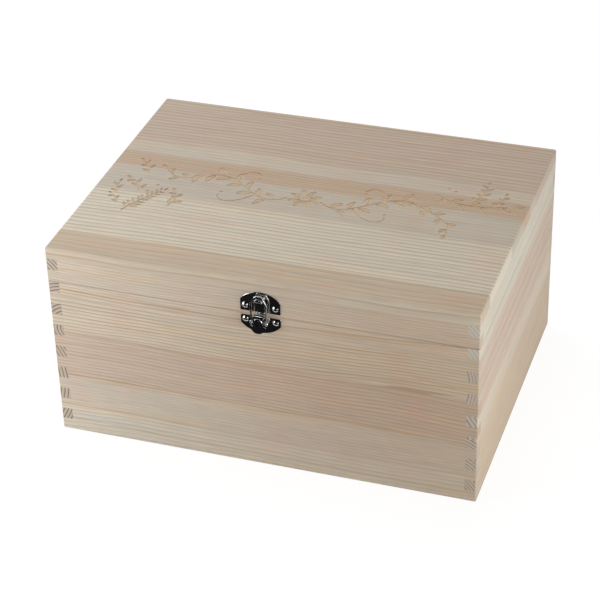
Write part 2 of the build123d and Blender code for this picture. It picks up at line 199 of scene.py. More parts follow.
class Bench:
    """Adds nodes to one tree, shader or geometry, and joins them as they come."""

    MIX_SOCKETS = {"FLOAT": (2, 3, 0), "VECTOR": (4, 5, 1), "RGBA": (6, 7, 2)}

    def __init__(self, tree):
        self.tree = tree

    def fill(self, node, inputs):
        """Joins a node's inputs to wires or sets them, and gives a colour its alpha."""
        for key, value in inputs.items():
            socket = node.inputs[key]
            if isinstance(value, Wire):
                self.tree.links.new(value.socket, socket)
            elif socket.type == "RGBA":
                socket.default_value = (*value[:3], 1.0)
            else:
                socket.default_value = value

    def add(self, kind, inputs=None, **settings):
        node = self.tree.nodes.new(kind)
        for name, value in settings.items():
            setattr(node, name, value)
        self.fill(node, inputs or {})
        return node

    def wire(self, kind, inputs=None, output=0, **settings):
        """Adds a node and gives one of its outputs."""
        return Wire(self, self.add(kind, inputs, **settings).outputs[output])

    def wires(self, kind, inputs=None, **settings):
        """Adds a node and gives all its outputs by name."""
        node = self.add(kind, inputs, **settings)
        return {socket.name: Wire(self, socket) for socket in node.outputs}

    def math(self, operation, *values, clamp=False):
        return self.wire("ShaderNodeMath", dict(enumerate(values)), operation=operation,
                         use_clamp=clamp)

    def scale(self, vector, factor):
        return self.wire("ShaderNodeVectorMath", {0: vector, "Scale": factor}, operation="SCALE")

    def combine(self, x=0.0, y=0.0, z=0.0):
        return self.wire("ShaderNodeCombineXYZ", {0: x, 1: y, 2: z})

    def split(self, vector):
        return self.wires("ShaderNodeSeparateXYZ", {0: vector}).values()

    def mix(self, factor, first, second, kind="RGBA", blend="MIX"):
        a, b, result = self.MIX_SOCKETS[kind]
        return self.wire("ShaderNodeMix", {0: factor, a: first, b: second}, result,
                         data_type=kind, blend_type=blend)

    def step(self, value, low, high):
        """0 below low, 1 above high and smooth between."""
        return self.wire("ShaderNodeMapRange", {0: value, 1: low, 2: high, 3: 0.0, 4: 1.0},
                         interpolation_type="SMOOTHSTEP")

    def ramp(self, factor, stops):
        """Grey levels at places from 0 to 1."""
        node = self.add("ShaderNodeValToRGB", {0: factor})
        elements = node.color_ramp.elements
        for _ in range(len(stops) - len(elements)):
            elements.new(0.5)
        for element, (place, level) in zip(elements, stops):
            element.position = place
            element.color = (level, level, level, 1.0)
        return Wire(self, node.outputs[0])

    def grain(self, place, length, width, detail=2.0, strength=1.0):
        """Noise about nought, drawn out along the grain: its patches are length by width."""
        stretch = (1 / length, 1 / width, 1 / width)
        place = self.wire("ShaderNodeVectorMath", {0: place, 1: stretch}, operation="MULTIPLY")
        noise = self.wire("ShaderNodeTexNoise", {"Vector": place, "Scale": 1.0, "Detail": detail})
        return (noise - 0.5) * strength

    def spots(self, place, grain, low, high, strength):
        """Patches where a grain rises from low to high."""
        return self.step(self.grain(place, *grain), low, high) * strength

    def chance(self, seed):
        """A random number from 0 to 1."""
        return self.wire("FunctionNodeRandomValue", {"Seed": seed}, 1, data_type="FLOAT")

    def millimetres(self):
        """Where a point lies in its object's own coordinates."""
        return self.scale(self.wires("ShaderNodeTexCoord")["Object"], 1 / MM)

    def bump(self, height, distance, strength=1.0):
        """A bump of so many millimetres."""
        return self.wire("ShaderNodeBump", {
            "Height": height, "Distance": distance * MM, "Strength": strength,
        })


def new_tree(name, kind, inputs, outputs):
    """A node tree with named inputs and outputs, its bench, and its inputs as wires."""
    tree = bpy.data.node_groups.new(name, kind)
    for side, sockets in (("INPUT", inputs), ("OUTPUT", outputs)):
        for label, socket_kind in sockets.items():
            tree.interface.new_socket(label, in_out=side, socket_type="NodeSocket" + socket_kind)
    bench = Bench(tree)
    return tree, bench, bench.wires("NodeGroupInput")


def new_material(name):
    """A material with its Principled shader and a bench to build the rest."""
    material = bpy.data.materials.new(name)
    material.use_nodes = True
    return material, Bench(material.node_tree), material.node_tree.nodes["Principled BSDF"]


def paint(node_name, material):
    """Gives a CAD node its material."""
    node = NODES[node_name]
    node.data.materials.clear()
    node.data.materials.append(material)


# --- Pine ---

# A stave runs from start to the next one's, across the board. Its heart is the middle of the rings,
# across the board and in its depth. Lengths are in millimetres, and end is its share of the
# board's end figure.
Stave = namedtuple("Stave", "start soft tone heart_across heart_depth pitch contrast slope end",
                   defaults=(1.0,))

# A vein is one strong ring line: its height at the middle of the board, its rise per millimetre
# along it, its bow, its width and its strength.
Vein = namedtuple("Vein", "height rise bow width strength")

# End is how strongly the rings show in the finger joints, and lean is how much painted light and
# shade
# the board gets: paler and cooler at its low end, darker and warmer at its high end.
Board = namedtuple("Board", "along across depth end lean staves veins")

FRONT = Board("X", "Z", "Y", 0.25, 1.0, staves=(
    Stave(0, 0, "chalk", -62, -60, 2.5, 0.46, 0.004),
    Stave(22, 2, "oat", -62, -60, 2.1, 0.34, 0.004),
    Stave(47.5, 1, "pink", -30, -60, 2.5, 0.72, -0.008),
    Stave(83, 2, "cream", -30, -60, 2.5, 0.84, 0.022),
    Stave(112, 6, "pale", -30, -60, 2.1, 0.46, 0.010),
), veins=(
    Vein(117, 0.0183, 0.00019, 1.2, 0.78),
    Vein(114.6, 0.0183, 0.00019, 0.8, 0.45),
    Vein(80.5, -0.025, -0.00004, 1.2, 0.62),
    Vein(82.5, 0.062, 0.0, 0.9, 0.50),
    Vein(47.5, -0.004, 0.0, 1.2, 0.85),
    Vein(45.0, -0.003, 0.0, 0.8, 0.45),
    Vein(21.5, -0.006, 0.0, 1.0, 0.55),
    Vein(8.5, -0.013, 0.0, 0.9, 0.45),
))

BACK = Board("X", "Z", "Y", 0.25, 0.0, staves=(
    Stave(0, 0, "pink", 190, 50, 3.4, 0.40, 0.006),
    Stave(31, 0.3, "cream", -40, 62, 3.1, 0.70, -0.010),
    Stave(74, 0.3, "pale", 40, 40, 3.3, 0.36, 0.012),
    Stave(112, 5, "pink", 40, 40, 3.3, 0.40, 0.012),
), veins=(
    Vein(31, 0.0, 0.0, 0.8, 0.55),
    Vein(96, 0.015, -0.0001, 0.9, 0.50),
    Vein(55, -0.010, 0.0, 0.8, 0.40),
))

LEFT = Board("Y", "Z", "X", 1.6, 0.0, staves=(
    Stave(0, 0, "tan", 40, -200, 2.5, 0.45, 0.006),
    Stave(72, 0.3, "pink", 85, -137, 2.6, 0.50, -0.010),
    Stave(127, 0.3, "pale", 98, -192, 2.7, 0.60, 0.004),
), veins=(
    Vein(72, 0.0, 0.0, 0.7, 0.50),
    Vein(102, 0.018, 0.0, 0.9, 0.45),
))

RIGHT = Board("Y", "Z", "X", 1.1, 0.0, staves=(
    Stave(0, 0, "tan", -12, 114, 2.3, 0.45, 0.010),
    Stave(51, 3, "pale", 30, 95, 3.0, 0.22, 0.006),
    Stave(70, 3, "pink", 92, 98, 2.3, 0.34, -0.008, 0.75),
    Stave(114, 4, "chalk", 92, 98, 2.6, 0.20, 0.004, 0.4),
), veins=(
    Vein(70, 0.010, 0.0, 1.0, 0.22),
    Vein(114, 0.008, 0.0, 1.2, 0.22),
    Vein(28, 0.012, 0.0001, 1.2, 0.26),
))

LID = Board("X", "Y", "Z", 0.12, 0.15, staves=(
    # The first stave takes in the lid's front edge and the start of its rounding. It is cream wood
    # with its own rings, and it is kept paler than the tan stave behind it as a painted highlight
    # along the rounded edge.
    Stave(-113, 0, "cream", -190, 70, 4.2, 0.45, 0.012),
    Stave(-111.3, 0.2, "tan", -30, 88, 4.0, 0.52, 0.006),
    Stave(-88.5, 0.3, "straw", -190, 70, 3.65, 0.70, 0.003),
    Stave(-27, 2, "oat", -190, 70, 3.65, 0.34, 0.003),
    Stave(8, 3, "amber", -150, 60, 2.7, 0.85, -0.004),
    Stave(28, 3, "pale", -150, 60, 3.6, 0.40, 0.003),
    Stave(46, 4, "pink", -150, 60, 4.1, 0.80, 0.004),
), veins=(
    Vein(-88.5, 0.0, 0.0, 0.8, 0.60),
    Vein(108, 0.002, 0.0, 1.6, 0.60),
    Vein(66, 0.004, 0.0, 1.2, 0.45),
    Vein(58, 0.003, 0.0, 1.0, 0.35),
    Vein(20, -0.010, 0.0, 1.4, 0.40),
    Vein(14, -0.010, 0.0, 1.0, 0.35),
    Vein(-27.5, 0.002, 0.0, 0.9, 0.35),
))

WARMTH = (1.035, 0.970, 0.895)
BLUSH = (1.03, 0.955, 0.955)

# Noise along the grain: length and width of a patch in millimetres, detail, strength.
WAVER = (130, 70, 1.0, 9.0)
RIPPLE = (28, 12, 1.0, 0.9)
UNEVEN_YEARS = (1, 11, 1.0, 0.7)
PATCHY_RINGS = (60, 5, 2.0, 1.0)
FIBRE = (18, 0.9, 3.0)
STREAKS = ((45, 1.4, 1.0, 0.13), (170, 6, 2.0, 0.20), (90, 40, 1.0, 0.08))
PORES = (0.35, 0.35, 2.0, 0.4)
SCORCHES = (1.6, 1.2, 3.0, 0.45)
VEIN_WOBBLE = (45, 30, 1.0, 2.4)
VEIN_FADING = (38, 8, 2.0, 2.2)
VENEER_FLOW = (240, 46, 1.0, 70.0)
VENEER_FIBRE = (18, 0.7, 3.0)

# Spots: their noise, where it starts to show and where it shows in full, and their strength.
FLECKS = ((4.0, 0.30, 0.0), 0.22, 0.34, 0.10)
WARM_STREAKS = ((120, 6, 1.0), -0.02, 0.24, 0.85)
BLUSHES = ((30, 30, 1.0), 0.0, 0.22, 0.8)
VENEER_PORES = ((3.0, 0.35, 0.0), 0.20, 0.32, 0.16)

# Grey levels of one year's ring, from pale early wood to its dark end.
RING_PROFILE = ((0.0, 0.0), (0.42, 0.10), (0.72, 0.55), (0.86, 1.0), (0.95, 0.75), (1.0, 0.0))

# Faint lines between the rings.
LINES_IN_A_YEAR = 2
LINE_STRENGTH = 0.022

# Painted light and shade of a leaning board: its tint at the lit, cool end and at the shaded, warm
# end, and how far from its middle they are.
LIT_END_TINT = (1.05, 1.07, 1.10)
SHADED_END_TINT = (0.94, 0.88, 0.84)
END_DISTANCE = 150.0

# How squarely a face looks along its board to be end grain, and how far the engraving is burnt.
END_FACING = 0.75
BURN = 0.8


def pine_figure(wood):
    """Node group: rings, fibre and end grain at a place (along, across, depth) in millimetres."""
    tree, bench, given = new_tree("Pine Figure", "ShaderNodeTree", {
        "Place": "Vector", "Heart": "Vector", "Habit": "Vector", "Tone": "Color",
        "End Grain": "Float", "Vein": "Float", "Burn": "Float",
    }, {"Colour": "Color", "Roughness": "Float", "Height": "Float"})
    place, tone, end_grain, vein = (given[key] for key in ("Place", "Tone", "End Grain", "Vein"))
    along, across, depth = bench.split(place)
    heart_across, heart_depth, pitch = bench.split(given["Heart"])
    contrast, slope, end_contrast = bench.split(given["Habit"])

    # Rings are circles about the heart, and the trunk's bends make them waver along the board.
    drift = slope * along + (bench.grain(place, *WAVER) + bench.grain(place, *RIPPLE))
    side = across - drift - heart_across
    sink = depth - heart_depth
    radius = bench.math("SQRT", side * side + sink * sink)
    count = radius / pitch + bench.grain(bench.combine(y=radius), *UNEVEN_YEARS)
    growth = bench.ramp(bench.math("FRACT", count), RING_PROFILE)
    year = bench.wire("ShaderNodeTexWhiteNoise", {"W": bench.math("FLOOR", count)}, "Value",
                      noise_dimensions="1D")
    thin = bench.math("POWER", growth, end_grain * 0.7 + 1.0)
    ring = thin * (year * 0.25 + 0.75) * (bench.grain(place, *PATCHY_RINGS) + 1.0)
    ring = ring * bench.mix(end_grain, contrast, end_contrast, "FLOAT")
    ring = bench.math("MULTIPLY", ring, wood.ring_strength, clamp=True)
    line = bench.math("MAXIMUM", ring, vein)

    # Tone: the stave's own, with fibres, streaks, faint lines between the rings and dark flecks,
    # then warmer streaks and pinker patches.
    fibre = bench.grain(place, *FIBRE)
    light = fibre * wood.fibre_strength + 1.0
    for streak in STREAKS:
        light = light + bench.grain(place, *streak)
    light = light + bench.math("SINE", count * (2 * math.pi * LINES_IN_A_YEAR)) * LINE_STRENGTH
    shaded = bench.scale(tone, light - bench.spots(place, *FLECKS))
    warm = bench.spots(place, *WARM_STREAKS)
    shaded = bench.mix(warm, shaded, WARMTH, blend="MULTIPLY")
    blush = bench.spots(bench.combine(depth, along, across), *BLUSHES)
    shaded = bench.mix(blush, shaded, BLUSH, blend="MULTIPLY")
    lined = bench.mix(vein, bench.mix(ring, shaded, wood.latewood), wood.resin)

    # End grain is a little darker and dull, with pores in place of fibres.
    porous = bench.scale(tone, bench.grain(place, *PORES) + 1.0)
    dull = bench.scale(bench.mix(0.5, porous, wood.end_grain), 0.96)
    sawn = bench.mix(bench.math("MINIMUM", end_contrast, 1.0), porous, dull)
    sawn = bench.mix(ring, sawn, bench.scale(wood.latewood, 0.45))
    colour = bench.mix(end_grain, lined, sawn)

    # The burn is browner where it went deeper, in the soft wood between the rings.
    scorch = bench.grain(place, *SCORCHES) + 1.0 - line * 0.25
    colour = bench.mix(given["Burn"], colour, bench.scale(wood.burnt, scorch))

    rough = end_grain * 0.15 - line * 0.10 + wood.roughness
    bench.add("NodeGroupOutput", {
        "Colour": colour,
        "Roughness": bench.math("ADD", fibre * 0.10, rough, clamp=True),
        "Height": fibre * 0.7 + line * 0.5,
    })
    return tree


def stave_chain(bench, board, across, wood):
    """The heart, habit and tone of the stave that a point lies in."""
    def marks(stave):
        return ((stave.heart_across, stave.heart_depth, stave.pitch),
                (stave.contrast, stave.slope, board.end * stave.end), getattr(wood, stave.tone))

    heart, habit, tone = marks(board.staves[0])
    for stave in board.staves[1:]:
        next_heart, next_habit, next_tone = marks(stave)
        sharp = bench.math("GREATER_THAN", across, stave.start)
        soft = bench.step(across, stave.start - stave.soft, stave.start + stave.soft)
        heart = bench.mix(sharp, heart, next_heart, "VECTOR")
        habit = bench.mix(soft, habit, next_habit, "VECTOR")
        tone = bench.mix(soft, tone, next_tone)
    return heart, habit, tone


def vein_lines(bench, board, place, along, across):
    """How strongly a point lies on one of the board's veins."""
    height = across + bench.grain(place, *VEIN_WOBBLE)
    strongest = 0.0
    for vein in board.veins:
        centre = along * vein.rise + (along * along * vein.bow + vein.height)
        line = bench.step(bench.math("ABSOLUTE", height - centre), vein.width, 0.0)
        strongest = bench.math("MAXIMUM", line * vein.strength, strongest)
    fading = bench.grain(place, *VEIN_FADING) + 1.0
    return bench.math("MULTIPLY", strongest, fading, clamp=True)


def pine_board(name, board, figure, wood, burn=0.0):
    """Material of one glued board, in the box's own coordinates."""
    material, bench, shader = new_material(name)
    axis = dict(zip("XYZ", bench.split(bench.millimetres())))
    facing = dict(zip("XYZ", bench.split(bench.wires("ShaderNodeTexCoord")["Normal"])))
    along, across, depth = axis[board.along], axis[board.across], axis[board.depth]
    place = bench.combine(along, across, depth)
    end = bench.math("GREATER_THAN", bench.math("ABSOLUTE", facing[board.along]), END_FACING)
    heart, habit, tone = stave_chain(bench, board, across, wood)
    # Painted light and shade: the tone is lighter and cooler towards the board's low end and darker
    # and warmer towards its high end, as much as its lean.
    painted_light_tint = bench.mix(bench.step(along, -END_DISTANCE, END_DISTANCE), LIT_END_TINT, SHADED_END_TINT)
    pine = bench.wires("ShaderNodeGroup", {
        "Place": place, "Heart": heart, "Habit": habit, "End Grain": end, "Burn": burn,
        "Tone": bench.mix(board.lean, tone, painted_light_tint, blend="MULTIPLY"),
        "Vein": vein_lines(bench, board, place, along, across),
    }, node_tree=figure)
    bench.fill(shader, {
        "Base Color": pine["Colour"], "Roughness": pine["Roughness"],
        "Specular IOR Level": 0.35, "Normal": bench.bump(pine["Height"], 0.06),
    })
    return material


def plywood(wood):
    """Rotary-cut face veneer: broad, faint figure along the box."""
    material, bench, shader = new_material("plywood")
    place = bench.millimetres()
    bands = bench.math("SINE", bench.grain(place, *VENEER_FLOW))
    fibre = bench.grain(place, *VENEER_FIBRE)
    light = bands * 0.045 + 1.0 + fibre * 0.22 - bench.spots(place, *VENEER_PORES)
    bench.fill(shader, {
        "Base Color": bench.scale(wood.plywood, light), "Roughness": 0.66,
        "Normal": bench.bump(fibre, 0.05),
    })
    return material


# --- Nickel ---

# Noise, as in the pine: length and width of a patch in millimetres, detail.
HAZE = (5.0, 3.0)
POLISHING = (6.0, 0.10)
WAVES = (2.4, 1.8, 1.0)


def metal(slot_name):
    """The plated sheet of a slot: faint polishing marks, finger haze and an uneven surface."""
    if slot_name in bpy.data.materials:
        return bpy.data.materials[slot_name]
    settings = bpy.context.scene.keepsake_metal
    material, bench, shader = new_material(slot_name)
    place = bench.millimetres()
    haze = bench.grain(place, *HAZE)
    marks = bench.grain(place, *POLISHING) * 0.05
    rough = marks + (haze * 0.16 + getattr(settings, slot_name + "_roughness"))
    bench.fill(shader, {
        "Base Color": bench.scale(getattr(settings, slot_name), haze * 0.12 + 1.0),
        "Roughness": bench.math("MAXIMUM", rough, 0.04), "Metallic": 1.0,
        "Normal": bench.bump(marks + bench.grain(place, *WAVES), 0.012),
    })
    return material


# --- Meshes ---

def linked_object(name, data):
    """An object of the scene with the given data."""
    thing = bpy.data.objects.new(name, data)
    bpy.context.scene.collection.objects.link(thing)
    return thing


def to_object(name, mesh, *materials):
    """An object made of a bmesh, which is freed."""
    data = bpy.data.meshes.new(name)
    mesh.to_mesh(data)
    mesh.free()
    for material in materials:
        data.materials.append(material)
    return linked_object(name, data)


def chain_object(name, chains, closed=False):
    """Chains of points as one mesh of edges, for a tree to work on."""
    points = []
    edges = []
    for chain in chains:
        first, last = len(points), len(chain) - 1
        points += [Vector(point).to_3d() for point in chain]
        edges += [(first + i, first + i + 1) for i in range(last)]
        if closed:
            edges.append((first + last, first))
    data = bpy.data.meshes.new(name)
    data.from_pydata(points, edges, [])
    return linked_object(name, data)


def worked_out(thing):
    """An object's mesh with its modifiers worked out. The object itself goes."""
    mesh = bmesh.new()
    graph = bpy.context.evaluated_depsgraph_get()
    mesh.from_mesh(bpy.data.meshes.new_from_object(thing.evaluated_get(graph)))
    bpy.data.objects.remove(thing)
    return mesh


def modified(mesh, kind, **settings):
    """A bmesh with one modifier worked out."""
    thing = to_object("work", mesh)
    modifier = thing.modifiers.new("work", kind)
    for name, value in settings.items():
        setattr(modifier, name, value)
    return worked_out(thing)


def run_tree(thing, tree, values):
    """The mesh that a Geometry Nodes tree makes of an object, which goes."""
    modifier = thing.modifiers.new(tree.name, "NODES")
    modifier.node_group = tree
    for item in tree.interface.items_tree:
        if item.in_out == "INPUT" and item.name in values:
            modifier[item.identifier] = values[item.name]
    return worked_out(thing)


def place_copies(bench, points, source, rotation, scale=(1.0, 1.0, 1.0)):
    """Copies of an object, one on each point."""
    copy = bench.wires("GeometryNodeObjectInfo", {"Object": source}, transform_space="ORIGINAL")
    return bench.wire("GeometryNodeInstanceOnPoints", {
        "Points": points, "Instance": copy["Geometry"], "Rotation": rotation, "Scale": scale,
    })


def close_tree(bench, geometry, material):
    """Realize Instances and Set Material, then out."""
    realized = bench.wire("GeometryNodeRealizeInstances", {"Geometry": geometry})
    dressed = bench.wire("GeometryNodeSetMaterial", {"Geometry": realized, "Material": material})
    bench.add("NodeGroupOutput", {"Geometry": dressed})


def welded_copy(node_name):
    """A CAD node's surface as one joined mesh."""
    mesh = bmesh.new()
    mesh.from_mesh(NODES[node_name].data)
    bmesh.ops.remove_doubles(mesh, verts=mesh.verts, dist=WELD)
    return mesh


def shade(mesh, degrees):
    """Smooths every edge that turns by less than the given angle."""
    for face in mesh.faces:
        face.smooth = True
    for edge in mesh.edges:
        turn = edge.calc_face_angle(math.pi) if len(edge.link_faces) == 2 else math.pi
        edge.smooth = turn < math.radians(degrees)


def replace_node(node_name, name, mesh, materials):
    """Puts a finished mesh in the place of a CAD node, on that node's body."""
    piece = to_object(name, mesh, *materials)
    bodies = frame["record"]["behaviour"]["bodies"]
    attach(piece, next(body for body, members in bodies.items() if node_name in members))
    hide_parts(node_name)


def islands(mesh):
    """The separate parts of a welded mesh, as lists of vertices in a fixed order."""
    seen = set()
    parts = []
    for start in mesh.verts:
        if start in seen:
            continue
        part = [start]
        seen.add(start)
        for vertex in part:
            others = [edge.other_vert(vertex) for edge in vertex.link_edges]
            part += [other for other in others if other not in seen]
            seen.update(others)
        parts.append(part)
    return parts


def part_boxes(node_name):
    """The lowest and highest corner of each separate part of a CAD node."""
    mesh = welded_copy(node_name)
    boxes = []
    for part in islands(mesh):
        low = Vector(min(vertex.co[axis] for vertex in part) for axis in range(3))
        high = Vector(max(vertex.co[axis] for vertex in part) for axis in range(3))
        boxes.append((low, high))
    mesh.free()
    return boxes


# --- Lid ornament ---

# Stems are Bezier curves on the lid, in millimetres from its middle: foot, two handles and tip,
# then the length of the leaves at the foot and at the tip.
Stem = namedtuple("Stem", "foot lean reach tip foot_leaf tip_leaf")

# A spray is stems with leaves of one kind: their distance along the stem, their angle to it and a
# leaf's half width as a share of its length.
Spray = namedtuple("Spray", "spacing spread fullness stems")

GARLAND = Spray(6.4, 48, 0.24, (
    # Two vines, one each way from the flower in the middle, and their curled ends.
    Stem((10, -6), (34, -30), (50, 26), (76, 8), 11.0, 12.5),
    Stem((77, 7), (90, -2), (106, -8), (103, -24), 10.5, 7.0),
    Stem((-14, -6), (-38, -30), (-54, 26), (-78, 8), 11.0, 12.5),
    Stem((-79, 7), (-88, 0), (-100, -4), (-109, 10), 9.5, 7.0),
    # Level spray at the right.
    Stem((84, 27), (98, 14), (118, 15), (138, 23), 9.5, 9.0),
))
SPRIGS = Spray(3.4, 44, 0.21, (
    # At the left, round the fern.
    Stem((-119, 1), (-121, 6), (-124, 11), (-129, 16), 7.0, 5.5),
    Stem((-117, -24), (-119, -18), (-123, -13), (-128, -10), 7.5, 6.5),
    Stem((-131, -31), (-133, -27), (-135, -23), (-135, -17), 6.5, 5.0),
    Stem((-91, -39), (-87, -33), (-87, -27), (-92, -20), 7.5, 6.0),
    Stem((-126, -44), (-127, -41), (-130, -37), (-134, -34), 5.0, 4.5),
    # At the right, above the level spray.
    Stem((111, 20), (115, 28), (117, 37), (116, 47), 7.0, 6.0),
    Stem((126, 19), (128, 25), (131, 30), (131, 36), 5.5, 4.5),
))
FERN = Spray(1.9, 50, 0.13, (
    Stem((-119, -53), (-117, -44), (-109, -32), (-101, -20), 8.5, 5.0),
))
TENDRILS = (
    Stem((34, -9), (44, -26), (60, -24), (58, -13), 0.0, 0.0),
    Stem((-38, -9), (-48, -26), (-64, -24), (-62, -13), 0.0, 0.0),
    Stem((52, 5), (54, 22), (38, 26), (36, 15), 0.0, 0.0),
    Stem((-56, 5), (-58, 22), (-42, 26), (-40, 15), 0.0, 0.0),
)

FLOWER_CENTRE = (-2, -4)
FLOWER_PETALS = 8
PETAL_LENGTH = 12.5
PETAL_FULLNESS = 0.17
PETAL_START = 0.16

# Berries: centre and radius.
BERRIES = (
    (*FLOWER_CENTRE, 2.3), (57, -11, 1.3), (-61, -11, 1.3), (37, 13, 1.3), (-41, 13, 1.3),
    (-111, -24, 1.5), (-107, -14, 1.3), (96, 33, 1.4), (91, 36, 1.2),
)

STEM_STEPS = 28
LEAF_STEPS = 9
BERRY_STEPS = 18

# A leaf one unit long: where its halves start and how far they stay from the midrib's middle, and
# the powers that put its fullest place nearer to its foot and make it blunter.
LEAF_STALK = 0.10
LEAF_RIB = 0.016
LEAF_SHIFT = 0.85
LEAF_BLUNTNESS = 0.9

# Where a stem's leaves start as a share of it, how far a leaf is turned by chance, and how much
# thinner the stem is at its tip.
FIRST_LEAF = 0.12
LEAF_NUDGE = 0.24
STEM_TAPER = 0.55

# The triangles inside the outlines are wanted, and points this near in millimetres are one.
INSIDE = 1
NEARNESS = 1e-6


def leaf_loops(fullness):
    """Outline of a leaf one unit long, pointing along X: two halves beside an uncut midrib."""
    loops = []
    for side in (1, -1):
        edge = []
        for step in range(1, LEAF_STEPS):
            share = step / LEAF_STEPS
            swell = math.sin(math.pi * share ** LEAF_SHIFT) ** LEAF_BLUNTNESS
            edge.append((LEAF_STALK + share * (1 - LEAF_STALK),
                         side * (LEAF_RIB + fullness * swell)))
        loops.append([(LEAF_STALK, side * LEAF_RIB), *edge, (1.0, side * LEAF_RIB)])
    return loops


def stem_points(stem):
    """Points along a stem, in metres."""
    corners = (stem.foot, stem.lean, stem.reach, stem.tip)
    return interpolate_bezier(*(Vector((*corner, 0.0)) * MM for corner in corners), STEM_STEPS)


def stem_object(stem_list):
    """Stems as polylines, each carrying the length of its leaves."""
    stems = chain_object("stems", [stem_points(stem) for stem in stem_list])
    shares = [i / (STEM_STEPS - 1) for i in range(STEM_STEPS)]
    lengths = [(stem.foot_leaf + (stem.tip_leaf - stem.foot_leaf) * share) * MM
               for stem in stem_list for share in shares]
    stems.data.attributes.new("leaf_length", "FLOAT", "POINT").data.foreach_set("value", lengths)
    return stems


def leaf_row_tree():
    """Leaves left and right by turns along each stem, and one at its tip."""
    tree, bench, given = new_tree("Leaf Row", "GeometryNodeTree", {
        "Geometry": "Geometry", "Leaf": "Object", "Spacing": "Float", "Spread": "Float",
        "First Leaf": "Float", "Seed": "Int", "Material": "Material",
    }, {"Geometry": "Geometry"})
    stems = bench.wire("GeometryNodeMeshToCurve", {"Mesh": given["Geometry"]})
    trimmed = bench.wire("GeometryNodeTrimCurve", {"Curve": stems, "Start": given["First Leaf"]},
                         mode="FACTOR")
    spaced = bench.wire("GeometryNodeResampleCurve", {"Curve": trimmed, "Length": given["Spacing"]},
                        mode="LENGTH")
    turn_x, turn_y, _ = bench.split(bench.wire("GeometryNodeInputTangent"))
    heading = bench.math("ARCTAN2", turn_y, turn_x)
    number = bench.wire("GeometryNodeInputIndex")
    side = bench.math("MODULO", number, 2.0) * -2.0 + 1.0
    tip = bench.wire("GeometryNodeCurveEndpointSelection", {"Start Size": 0, "End Size": 1})
    nudge = (bench.chance(given["Seed"]) - 0.5) * LEAF_NUDGE
    leaning = bench.math("SUBTRACT", 1.0, tip)
    angle = heading + side * given["Spread"] * leaning + nudge
    size = bench.wire("GeometryNodeInputNamedAttribute", {"Name": "leaf_length"},
                      data_type="FLOAT")
    leaves = place_copies(bench, spaced, given["Leaf"], bench.combine(z=angle),
                          bench.combine(size, size, size))
    close_tree(bench, leaves, given["Material"])
    return tree


def loop_walk(start, edge):
    """Places round a loop of open edges, from a corner along one of its edges."""
    walk = [start]
    vertex = edge.other_vert(start)
    while vertex != start:
        walk.append(vertex)
        edge = next(other for other in vertex.link_edges
                    if other != edge and len(other.link_faces) < 2)
        vertex = edge.other_vert(vertex)
    return [vertex.co.xy for vertex in walk]


def leaf_outlines(spray, tree, seed, material):
    """Closed loops of points of every leaf of a spray, on the lid's plane."""
    leaf = chain_object("leaf_outline", leaf_loops(spray.fullness), closed=True)
    outlines = run_tree(stem_object(spray.stems), tree, {
        "Leaf": leaf, "Spacing": spray.spacing * MM, "Spread": math.radians(spray.spread),
        "First Leaf": FIRST_LEAF, "Seed": seed, "Material": material,
    })
    loops = [loop_walk(part[0], part[0].link_edges[0]) for part in islands(outlines)]
    outlines.free()
    bpy.data.objects.remove(leaf)
    return loops


def stem_outline(stem, width):
    """A stem as a thin strip that narrows to its tip."""
    points = stem_points(stem)
    last = len(points) - 2
    left = []
    right = []
    for i in range(last + 1):
        course = (points[i + 1] - points[max(i - 1, 0)]).normalized()
        half = Vector((-course.y, course.x)) * width / 2 * (1 - STEM_TAPER * i / last)
        left.append(points[i].xy + half)
        right.append(points[i].xy - half)
    return right + left[::-1]


def berry_outline(x, y, radius):
    """A round berry."""
    turns = (2 * math.pi * step / BERRY_STEPS for step in range(BERRY_STEPS))
    return [Vector((x + math.cos(turn) * radius, y + math.sin(turn) * radius)) * MM
            for turn in turns]


def flower_outlines():
    """Petals round the flower's middle."""
    loops = []
    for petal in range(FLOWER_PETALS):
        turn = Matrix.Rotation(2 * math.pi * (petal + 0.5) / FLOWER_PETALS, 2)
        for loop in leaf_loops(PETAL_FULLNESS):
            points = [Vector((PETAL_START + (1 - PETAL_START) * x, y)) for x, y in loop]
            loops.append([(Vector(FLOWER_CENTRE) + turn @ point * PETAL_LENGTH) * MM
                          for point in points])
    return loops


def ornament_outlines(lid, material):
    """Every closed outline that is cut into the lid."""
    sprays = (GARLAND, SPRIGS, FERN)
    stems = [stem for spray in sprays for stem in spray.stems] + list(TENDRILS)
    outlines = [stem_outline(stem, lid.stem_width) for stem in stems]
    outlines += [berry_outline(*berry) for berry in BERRIES]
    outlines += flower_outlines()
    tree = leaf_row_tree()
    for spray in sprays:
        outlines += leaf_outlines(spray, tree, lid.seed, material)
    return outlines


def counter_clockwise(loop):
    """The same loop, turned to run counter-clockwise."""
    area = sum(a[0] * b[1] - b[0] * a[1] for a, b in zip(loop, (*loop[1:], loop[0])))
    return loop if area > 0 else loop[::-1]


